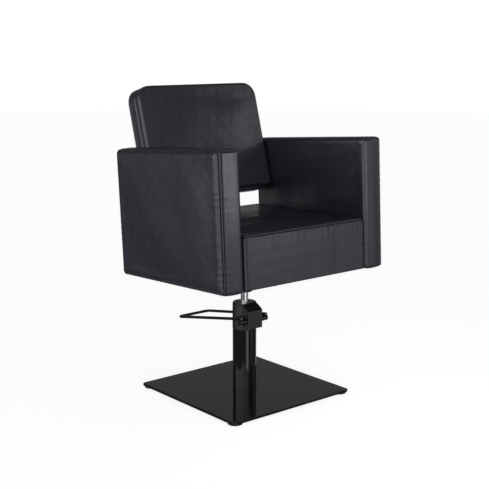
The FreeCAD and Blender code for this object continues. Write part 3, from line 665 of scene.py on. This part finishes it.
def subdivide(obj):
    """Applies the piece's modifiers and one level of subdivision."""
    modifier = obj.modifiers.new("subdivide", "SUBSURF")
    modifier.levels = 1
    modifier.render_levels = 1
    shown = obj.evaluated_get(bpy.context.evaluated_depsgraph_get())
    mesh = bpy.data.meshes.new_from_object(shown)
    obj.modifiers.clear()
    old = obj.data
    obj.data = mesh
    bpy.data.meshes.remove(old)
    mesh.name = obj.name


# ---------------- swelling

CLOTH_STEPS = 20
CLOTH_PRESSURE = 4.0
CLOTH_SETTINGS = {
    "quality": 6,
    "mass": 0.35,
    "tension_stiffness": 18,
    "compression_stiffness": 18,
    "shear_stiffness": 8,
    "bending_stiffness": 2.5,
    "use_pressure": True,
    "uniform_pressure_force": CLOTH_PRESSURE,
    "vertex_group_mass": "held",
    "pin_stiffness": 1.0,
}


def even_out(mesh, shift, rounds):
    """Spreads each point's shift over its neighbours, so the broad swell stays and the crumpling goes."""
    edges = np.zeros(len(mesh.edges) * 2, np.int32)
    mesh.edges.foreach_get("vertices", edges)
    first, second = edges[0::2], edges[1::2]
    joined = np.bincount(edges, minlength=len(shift))[:, None]
    still = np.linalg.norm(shift, axis=1) < MICRON
    for _ in range(rounds):
        total = np.zeros_like(shift)
        np.add.at(total, first, shift[second])
        np.add.at(total, second, shift[first])
        shift = np.where(still[:, None], shift, 0.5 * shift + 0.5 * total / joined)
    return shift


def inflated(obj, free):
    """Where the cover's points come to as cloth under pressure, held where free is 0."""
    held = obj.vertex_groups.new(name="held")
    for i, weight in enumerate(1 - free):
        held.add([i], float(weight), "REPLACE")
    cloth = obj.modifiers.new("cloth", "CLOTH")
    for key, value in CLOTH_SETTINGS.items():
        setattr(cloth.settings, key, value)
    cloth.settings.effector_weights.gravity = 0.0
    cloth.collision_settings.use_collision = False
    cloth.point_cache.frame_start = 1
    cloth.point_cache.frame_end = CLOTH_STEPS
    scene = bpy.context.scene
    for step in range(1, CLOTH_STEPS + 1):
        scene.frame_set(step)
    shown = obj.evaluated_get(bpy.context.evaluated_depsgraph_get()).to_mesh()
    moved = coordinates(shown)
    obj.to_mesh_clear()
    obj.modifiers.remove(cloth)
    obj.vertex_groups.clear()
    scene.frame_set(1)
    return moved


def puff(obj, free, cap, rounds):
    """Blows the cover up over its foam as cloth held at its seams, then keeps the swell within cap."""
    mesh = obj.data
    flat = coordinates(mesh)
    shift = even_out(mesh, inflated(obj, free) - flat, rounds)
    limit = np.percentile(np.linalg.norm(shift, axis=1), 98) + TINY
    shift *= np.minimum(1.0, cap / limit) if limit > cap else 1.0
    length = np.linalg.norm(shift, axis=1)
    shift *= np.minimum(1.0, cap / np.maximum(length, TINY))[:, None]
    set_coordinates(mesh, flat + shift)


# ---------------- seams, gathers and waves

def waves(points, wavelength, count, rng):
    """Smooth random ripples over a point cloud, about -1 to 1."""
    total = np.zeros(len(points))
    for _ in range(count):
        direction = rng.normal(size=points.shape[1])
        direction /= np.linalg.norm(direction)
        stretch = rng.uniform(0.7, 1.4)
        total += np.sin(points @ direction * (2 * math.pi / (wavelength * stretch)) + rng.uniform(0, 6.28))
    return total / math.sqrt(count)


def groove(distance, depth, width, lip):
    """A seam pulled in along a line, with a slight swell either side."""
    pulled = -depth * np.exp(-(distance / width) ** 2)
    swell = lip * np.exp(-((np.abs(distance) - 2.6 * width) / (1.5 * width)) ** 2)
    return pulled + swell


def hump(distance, height, width):
    return height * np.exp(-(distance / width) ** 2)


def fade(value, low, high):
    """0 below low, 1 above high, and smooth between."""
    share = np.clip((value - low) / (high - low), 0, 1)
    return share * share * (3 - 2 * share)


def puckers(along, distance, reach, size, pitch, rng):
    """Small gathers that run away from a seam and fade out."""
    line = along[:, None]
    ripple = waves(line, pitch, 5, rng) * (0.55 + 0.45 * waves(line, pitch * 7, 3, rng))
    return size * ripple * np.exp(-np.abs(distance) / reach) * (1 - np.exp(-(distance / (0.25 * reach)) ** 2))


# ---------------- stitches

STITCH = 5.5 * MM               # from one stitch to the next
STITCH_REACH = STITCH * 0.34    # half a stitch's length
THREAD = 0.42 * MM              # the thread's radius
STITCH_RINGS = ((-1.0, 0.0), (-0.8, 0.75), (0.0, 1.0), (0.8, 0.75), (1.0, 0.0))     # place, thickness
STITCH_SIDES = 6


def seam_path(obj, where):
    """Closed line of points and normals along a seam, in the order they go round the outline."""
    mesh = obj.data
    over, _, _, a, b, _ = resting(mesh)
    on_line = np.abs(over - where) < 0.15 * MM
    points, normals = coordinates(mesh)[on_line], vertex_normals(mesh)[on_line]
    turn = np.arctan2(b[on_line] / np.abs(b).max(), a[on_line] / np.abs(a).max())
    order = np.argsort(turn)
    return points[order], normals[order]


def unit(vectors, least=0.0):
    return vectors / np.maximum(np.linalg.norm(vectors, axis=1), least)[:, None]


def stitch_frames(path, normals):
    """Middle, direction, upward and sideways unit vectors of each stitch round a closed path."""
    closed = np.vstack([path, path[:1]])
    steps = np.linalg.norm(np.diff(closed, axis=0), axis=1)
    distance = np.concatenate([[0], np.cumsum(steps)])
    count = int(distance[-1] / STITCH)
    places = (np.arange(count) + 0.5) * distance[-1] / count

    def at(values, where):
        values = np.vstack([values, values[:1]])
        return np.stack([np.interp(where % distance[-1], distance, values[:, i]) for i in range(3)], 1)

    along = unit(at(path, places + STITCH_REACH) - at(path, places - STITCH_REACH), TINY)
    side = np.cross(unit(at(normals, places)), along)
    return zip(at(path, places), along, np.cross(along, side), side)


def run_stitches(name, paths, materials):
    """Rows of short thread stitches laid in their seams."""
    points, faces = [], []
    for path, normals in paths:
        for middle, along, up, side in stitch_frames(path, normals):
            start = len(points)
            for ring, size in STITCH_RINGS:
                lift = 0.5 * THREAD * (1 - abs(ring) ** 3 * 1.6)
                for k in range(STITCH_SIDES):
                    angle = 2 * math.pi * k / STITCH_SIDES
                    points.append(middle + along * ring * STITCH_REACH
                                  + up * (lift + math.sin(angle) * THREAD * size)
                                  + side * math.cos(angle) * THREAD * size)
            for r in range(len(STITCH_RINGS) - 1):
                low, high = start + r * STITCH_SIDES, start + (r + 1) * STITCH_SIDES
                for k in range(STITCH_SIDES):
                    following = (k + 1) % STITCH_SIDES
                    faces.append((low + k, low + following, high + following, high + k))
    obj = mesh_object(name, [tuple(p) for p in points], faces)
    smooth(obj.data)
    obj.data.materials.append(materials["thread"])
    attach(obj, "seat")


def finish_soft(obj, materials, fill, *replaced):
    mesh = obj.data
    smooth(mesh)
    for key in RESTING:
        mesh.attributes.remove(mesh.attributes["rest_" + key])
    mesh.materials.append(materials["black_upholstery"])
    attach(obj, "seat")
    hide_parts(*replaced)


# ---------------- arms
# An arm's a runs from front to rear, b upwards, and t inwards from its outer face.

ARM_CORNERS = (9 * MM, 11 * MM, 13 * MM, 16 * MM)   # low front, low rear, top front, top rear
ARM_EDGES = (20 * MM, 13 * MM)      # outer and inner
ARM_SEAM_OUT = 4.5 * MM
ARM_SEAM_IN = 15 * MM
ARM_FULLER = 1.5 * MM       # how far the cover stands outside its CAD solid
ARM_PUFF = 5 * MM
ARM_CROWN = 2.2 * MM        # swell of the band between the two faces
ARM_RISE = 6 * MM           # how far the foot rises at the rear
ARM_TAPER = 3 * MM          # how far the outer face draws in at the foot
ARM_TOP_FRONT = 6.5 * MM
ARM_TOP_REAR = -2.5 * MM
CROSS_SEAM = 6 * MM         # down from the top, on the front and rear ends
BOARD_STEP = 0.6 * MM       # width of the step up to the closing board
BOARD_ROOM = 0.3 * MM


def arm_details(obj, seat_top, board, rng):
    """Double seam round the outer edge, a plain seam inside, cross seams at the top corners."""
    mesh = obj.data
    over, along, rim, a, b, t = resting(mesh)
    thick = t.max()
    points = coordinates(mesh)
    lift = groove(over - ARM_SEAM_OUT, 3.8 * MM, 1.8 * MM, 0.7 * MM)
    lift += groove(over - ARM_SEAM_IN, 3.2 * MM, 1.7 * MM, 0.6 * MM)
    lift += hump(over - (ARM_SEAM_OUT + ARM_SEAM_IN) / 2, 0.5 * MM, 3 * MM)
    lift += puckers(along, over - ARM_SEAM_OUT, 20 * MM, 0.95 * MM, 19 * MM, rng)
    lift += puckers(along + 0.3, over - thick, 16 * MM, 0.4 * MM, 23 * MM, rng)
    on_band = (over > ARM_SEAM_IN) & (over < thick)
    ends = np.abs(a) > a.max() - ON_PLANE
    lift += np.where(on_band & ends, groove(b.max() - CROSS_SEAM - b, 3.2 * MM, 1.7 * MM, 0.6 * MM), 0)
    middle = (ARM_SEAM_IN + thick) / 2
    crown = 1 - ((over - middle) / (middle - ARM_SEAM_IN)) ** 2
    lift += np.where(on_band, ARM_CROWN * np.clip(crown, 0, 1), 0)
    inside = fade(over, thick, thick + 12 * MM)
    above_seat = fade(b, seat_top, seat_top + 40 * MM)
    clear_of_seat = 1 - inside * (1 - above_seat)
    lift += 1.1 * MM * waves(points, 140 * MM, 9, rng) * fade(rim, 4 * MM, 45 * MM) * clear_of_seat
    lift += 0.25 * MM * waves(points, 34 * MM, 9, rng) * fade(rim, 4 * MM, 20 * MM) * clear_of_seat
    points += vertex_normals(mesh) * lift[:, None]
    under = b < b.min() + ON_PLANE
    recess = under & (np.abs(a) < board["half"]) & (t > board["out"]) & (t < board["in"])
    points[:, 1] += np.where(recess, board["up"], 0)
    height = (points[:, 1] - points[:, 1].min()) / np.ptp(points[:, 1])
    rearward = a / np.ptp(a) + 0.5
    points[:, 1] += ARM_RISE * rearward * np.clip(1 - height, 0, 1) * ~recess
    points[:, 1] += (ARM_TOP_FRONT * (1 - rearward) + ARM_TOP_REAR * rearward) * height
    points[:, 2] += ARM_TAPER * np.clip(1 - height, 0, 1) * np.clip(1 - t / (18 * MM), 0, 1)
    set_coordinates(mesh, points)


def make_arm(word, side, materials):
    node = "arm_cover_" + word
    low, high = leaning_box(node, SEAT_AXES)
    size = high - low
    board_low, board_high = leaning_box("arm_closing_" + word, SEAT_AXES)
    outer = (high[0] if side > 0 else low[0]) + side * ARM_FULLER
    reach = sorted(abs(x - outer) for x in (board_low[0], board_high[0]))
    ends_in = min(high[1] - board_high[1], board_low[1] - low[1])
    board = {"half": size[1] / 2 - ends_in + BOARD_ROOM,
             "up": board_high[2] - low[2] + ARM_FULLER + BOARD_ROOM,
             "out": reach[0] - 0.1 * MM, "in": reach[1] + 0.1 * MM}
    slab = Slab(size[1] / 2 + ARM_FULLER, size[2] / 2 + ARM_FULLER, size[0] + ARM_FULLER,
                ARM_CORNERS, ARM_EDGES, (ARM_SEAM_OUT, ARM_SEAM_IN),
                levels=(reach[0] - BOARD_STEP, reach[0], reach[1], reach[1] + BOARD_STEP),
                rims=[1.5 * MM, 4 * MM, ends_in + ARM_FULLER - BOARD_STEP, ends_in + ARM_FULLER]
                + seam_lines([CROSS_SEAM]))
    obj = slab_object("arm_upholstery_" + word, slab)
    seat_top = leaning_box("seat_cover", SEAT_AXES)[1][2] - (low[2] + high[2]) / 2
    swell = fade(slab.rim, 10 * MM, 70 * MM)
    inside = slab.over > slab.thick
    swell = swell * np.where(inside, 0.4 * fade(slab.b, seat_top, seat_top + 50 * MM), 1)
    puff(obj, np.where((slab.over < 0) | inside, swell, 0), ARM_PUFF, rounds=12)
    subdivide(obj)
    arm_details(obj, seat_top, board, np.random.default_rng(11))
    centre = (low + high) / 2
    centre[0] = outer
    place_slab(obj, ((1, 1), (2, 1), (0, -side)), centre, SEAT_AXES)
    flip_if_inside_out(obj.data)
    paths = [seam_path(obj, where) for where in (ARM_SEAM_OUT, ARM_SEAM_IN)]
    run_stitches("arm_stitching_" + word, paths, materials)
    finish_soft(obj, materials, 0.9, node, "arm_foam_" + word)


# ---------------- seat
# The seat's a runs across it, b from front to rear, and t upwards from its underside.

SEAT_CORNER = 9 * MM
SEAT_EDGES = (1.5 * MM, 11 * MM)    # lower and upper
SEAT_SINK = 4 * MM          # how far the flat top starts below its CAD solid, before it swells
SEAT_PUFF = 8 * MM
FASCIA_SEAM = 3.5 * MM      # down from the flat top
ROLL_WIDTH = 12 * MM
SEAT_FRONT_DROP = 8 * MM
SEAT_REAR_LIFT = 7 * MM
CORNER_SEAM = 10 * MM       # in from the front corners
COVER_WALL = 1.2 * MM
PANEL_ROOM = 0.4 * MM


def seat_details(obj, hollow, rng):
    """A rolled seam round the top edge, seams down the front corners and a fascia with soft waves."""
    mesh = obj.data
    over, along, rim, a, b, t = resting(mesh)
    thick = t.max()
    points = coordinates(mesh)
    first, second = thick - FASCIA_SEAM, thick - FASCIA_SEAM + ROLL_WIDTH
    lift = groove(over - first, 3.6 * MM, 1.7 * MM, 0.5 * MM)
    lift += groove(over - second, 3.2 * MM, 1.7 * MM, 0.6 * MM)
    lift += hump(over - (first + second) / 2, 0.9 * MM, 3.6 * MM)
    lift += puckers(along, over - first, 20 * MM, 0.55 * MM, 21 * MM, rng)
    lift += puckers(along + 0.2, over - second, 26 * MM, 0.7 * MM, 24 * MM, rng)
    front = b < b.min() + ON_PLANE
    fascia = front & (t < first)
    corner = a.max() - CORNER_SEAM - np.abs(a)
    lift += np.where(fascia, groove(corner, 3.2 * MM, 1.6 * MM, 0.6 * MM), 0)
    calm = fade(corner, 0, 40 * MM) * fade(t, 2 * MM, 45 * MM) * fade(first - t, 0, 30 * MM)
    ripple = waves(points[:, [0]] + points[:, [2]] * 0.25, 95 * MM, 6, rng)
    lift += np.where(front, 0.35 * MM * ripple * calm, 0)
    on_top = over > second
    broad = 0.9 * MM * waves(points, 150 * MM, 8, rng) * fade(rim, 10 * MM, 60 * MM)
    fine = 0.22 * MM * waves(points, 38 * MM, 8, rng) * np.where(front, calm, fade(rim, 8 * MM, 30 * MM))
    lift += np.where(on_top, broad, 0)
    lift += np.where(on_top | front, fine, 0)
    points += vertex_normals(mesh) * lift[:, None]
    between = (np.abs(a) < hollow["side"]) & (b > -hollow["front"]) & (b < hollow["rear"])
    inside = (t < ON_PLANE) & between
    points[:, 2] = np.where(inside, hollow["up"], points[:, 2])
    height = np.clip(points[:, 2] / thick, 0, 1)
    rearward = b / np.ptp(b) + 0.5
    slope = SEAT_REAR_LIFT * rearward - SEAT_FRONT_DROP * (1 - rearward)
    points[:, 2] += slope * height * ~inside
    set_coordinates(mesh, points)


def make_seat(materials):
    low, high = leaning_box("seat_cover", SEAT_AXES)
    panel_low, panel_high = leaning_box("seat_panel", SEAT_AXES)
    web_low, _ = leaning_box("seat_webbing", SEAT_AXES)
    size, centre = high - low, (low + high) / 2
    gaps = (high[0] - panel_high[0], panel_low[1] - low[1], high[1] - panel_high[1])
    rims = [gap - step for gap in gaps for step in (0.3 * MM, COVER_WALL)] + seam_lines([CORNER_SEAM])
    hollow = {"side": size[0] / 2 - gaps[0] + PANEL_ROOM, "front": size[1] / 2 - gaps[1] + PANEL_ROOM,
              "rear": size[1] / 2 - gaps[2] + PANEL_ROOM, "up": web_low[2] - low[2] + 1 * MM}
    thick = size[2] - SEAT_SINK
    seams = (thick - FASCIA_SEAM, thick - FASCIA_SEAM + ROLL_WIDTH)
    slab = Slab(size[0] / 2, size[1] / 2, thick, [SEAT_CORNER] * 4, SEAT_EDGES, seams, rims=rims)
    obj = slab_object("seat_upholstery", slab)
    top = slab.over > slab.thick + 10 * MM
    front = (slab.b < slab.b.min() + MICRON) & (slab.t < slab.thick)
    across = fade(slab.half[0] - np.abs(slab.a), 8 * MM, 80 * MM)
    fascia = 0.4 * across * fade(slab.t, 4 * MM, 40 * MM) * fade(slab.thick - slab.t, 6 * MM, 40 * MM)
    swell = np.where(top, fade(slab.rim, 10 * MM, 90 * MM), np.where(front, fascia, 0))
    puff(obj, swell, SEAT_PUFF, rounds=10)
    subdivide(obj)
    seat_details(obj, hollow, np.random.default_rng(23))
    centre[2] = low[2]
    place_slab(obj, ((0, 1), (1, 1), (2, 1)), centre, SEAT_AXES)
    run_stitches("seat_stitching", [seam_path(obj, seams[1])], materials)
    finish_soft(obj, materials, 0.85, "seat_cover", "seat_foam")


# ---------------- back
# The front pad's and rear shell's a runs across them, b upwards, and t away from where they meet.

BACK_TOP_RADIUS = 46 * MM
PAD_LOW_RADIUS = 16 * MM
SHELL_LOW_RADIUS = 32 * MM
BACK_WIDER = 6 * MM         # how far each side stands outside its CAD solid
BACK_TALLER = 1.5 * MM
PAD_DROP = 3 * MM           # how far each reaches down below its CAD solid
SHELL_DROP = 15 * MM
PAD_THICK = 24 * MM
PAD_SEAM = 2.5 * MM         # in from the joint
SHELL_SEAM = 12 * MM        # in from the rear face


def back_details(obj, pad, rng):
    """The front pad or rear shell: gathers round the corners, soft waves over the faces."""
    mesh = obj.data
    over, along, rim, a, b, t = resting(mesh)
    points = coordinates(mesh)
    thick = t.max()
    corner = np.hypot(a.max() - np.abs(a), b.max() - np.abs(b))
    near_corner = 0.35 + np.exp(-(corner / (55 * MM)) ** 2)
    seam = PAD_SEAM if pad else thick - SHELL_SEAM
    lift = puckers(along, over - seam, 20 * MM, 0.6 * MM, 16 * MM, rng) * near_corner
    if pad:
        lift += puckers(along + 0.4, over - thick - 4 * MM, 30 * MM, 0.55 * MM, 26 * MM, rng) * near_corner
        sideways = points[:, [1]] + 0.15 * points[:, [0]]
        lift += 0.4 * MM * waves(sideways, 120 * MM, 5, rng) * fade(rim, 12 * MM, 60 * MM) * (over > thick)
    else:
        lift += groove(over - seam, 2.8 * MM, 1.6 * MM, 0.5 * MM)
    lift += 0.5 * MM * waves(points, 140 * MM, 9, rng) * fade(rim, 4 * MM, 50 * MM)
    lift += 0.22 * MM * waves(points, 36 * MM, 9, rng) * fade(rim, 6 * MM, 24 * MM)
    set_coordinates(mesh, points + vertex_normals(mesh) * lift[:, None])


def back_slab(name, size, drop, thick, low_radius, edges, seams=()):
    corners = [low_radius, low_radius, BACK_TOP_RADIUS, BACK_TOP_RADIUS]
    slab = Slab(size[0] / 2 + BACK_WIDER, size[2] / 2 + BACK_TALLER + drop / 2, thick, corners, edges, seams)
    return slab, slab_object(name, slab)


def swell_back(obj, slab, cap):
    puff(obj, np.where(slab.over > slab.thick, fade(slab.rim, 5 * MM, 100 * MM), 0), cap, rounds=10)
    subdivide(obj)


def make_back_pad(materials):
    low, high = leaning_box("back_pad_cover", BACK_AXES)
    size, centre = high - low, (low + high) / 2
    slab, obj = back_slab("back_pad", size, PAD_DROP, PAD_THICK, PAD_LOW_RADIUS, (4 * MM, 8 * MM))
    swell_back(obj, slab, 7.5 * MM)
    back_details(obj, True, np.random.default_rng(31))
    centre[1] = low[1] - 0.5 * MM + PAD_THICK
    centre[2] -= PAD_DROP / 2
    place_slab(obj, ((0, 1), (2, 1), (1, -1)), centre, BACK_AXES)
    flip_if_inside_out(obj.data)
    finish_soft(obj, materials, 0.85, "back_pad_cover", "back_pad_foam")


def make_back_shell(materials):
    low, high = leaning_box("back_shell", BACK_AXES)
    size, centre = high - low, (low + high) / 2
    seam = size[1] - SHELL_SEAM
    slab, obj = back_slab("back_rear_shell", size, SHELL_DROP, size[1] - 1 * MM, SHELL_LOW_RADIUS,
                          (6 * MM, 10 * MM), (seam,))
    swell_back(obj, slab, 4 * MM)
    back_details(obj, False, np.random.default_rng(37))
    centre[1] = low[1]
    centre[2] -= SHELL_DROP / 2
    place_slab(obj, ((0, 1), (2, 1), (1, 1)), centre, BACK_AXES)
    flip_if_inside_out(obj.data)
    run_stitches("back_stitching", [seam_path(obj, seam)], materials)
    finish_soft(obj, materials, 0.85, "back_shell", "back_inner_foam")


# ---------------- under the seat

CLOTH_GAP = 5 * MM          # between the cloth's window and the mounting plate
CLOTH_CELL = 9 * MM
CLOTH_THICK = 0.4 * MM
CLOTH_SAG = 2.2 * MM


def make_dust_cover(materials):
    """Black cloth stapled under the seat panel, cut out round the mounting plate, with a little sag."""
    low, high = leaning_box("dust_cover", SEAT_AXES)
    plate_low, plate_high = leaning_box("mount_plate", SEAT_AXES)
    window_low, window_high = plate_low - CLOTH_GAP, plate_high + CLOTH_GAP
    rng = np.random.default_rng(41)
    across, along = (even_fill([low[axis], window_low[axis], window_high[axis], high[axis]], CLOTH_CELL)
                     for axis in (0, 1))
    grid_x, grid_y = np.meshgrid(across, along, indexing="ij")
    flat = np.stack([grid_x.ravel(), grid_y.ravel()], 1)
    x, y = flat.T
    edge = np.minimum.reduce([x - low[0], high[0] - x, y - low[1], high[1] - y])
    plate_middle, plate_half = (plate_low[1] + plate_high[1]) / 2, (plate_high[1] - plate_low[1]) / 2
    hole = np.maximum(np.abs(x) - window_high[0], np.abs(y - plate_middle) - plate_half - CLOTH_GAP)
    slack = fade(np.minimum(edge, hole), 0, 40 * MM)
    sag = -slack * (CLOTH_SAG + 0.9 * MM * waves(flat, 70 * MM, 8, rng))
    ruck = 0.35 * MM * waves(flat, 26 * MM, 8, rng) * (0.3 + slack)
    points = np.column_stack([flat, np.full(len(flat), high[2] - 0.5 * MM) + sag + ruck])
    rows, columns = grid_x.shape
    faces = []
    for i in range(rows - 1):
        for j in range(columns - 1):
            middle_x, middle_y = (across[i] + across[i + 1]) / 2, (along[j] + along[j + 1]) / 2
            in_x, in_y = abs(middle_x) < window_high[0], window_low[1] < middle_y < window_high[1]
            if not (in_x and in_y):
                start, following = i * columns + j, (i + 1) * columns + j
                faces.append((start, following, following + 1, start + 1))
    used = sorted({k for face in faces for k in face})
    renumber = {old: new for new, old in enumerate(used)}
    obj = mesh_object("dust_cloth", (points[used] @ SEAT_AXES.T).tolist(),
                      [[renumber[k] for k in face] for face in faces])
    smooth(obj.data)
    obj.data.materials.append(materials["dust_cloth"])
    thicken = obj.modifiers.new("thicken", "SOLIDIFY")
    thicken.thickness = CLOTH_THICK
    thicken.offset = 1.0
    subdivide(obj)
    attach(obj, "seat")
    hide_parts("dust_cover")


# ---------------- build

make_camera()
make_world()
make_softboxes()
make_stage()
MATERIALS = make_materials()
SLOT_OF = {s["node"]: s["material_slot"] for s in frame["record"]["subparts"]}
for node_name, node_object in frame["nodes"].items():
    node_object.data.materials.clear()
    node_object.data.materials.append(MATERIALS[SLOT_OF[node_name]])

make_arm("right", -1, MATERIALS)
make_arm("left", 1, MATERIALS)
make_seat(MATERIALS)
make_back_pad(MATERIALS)
make_back_shell(MATERIALS)
make_dust_cover(MATERIALS)
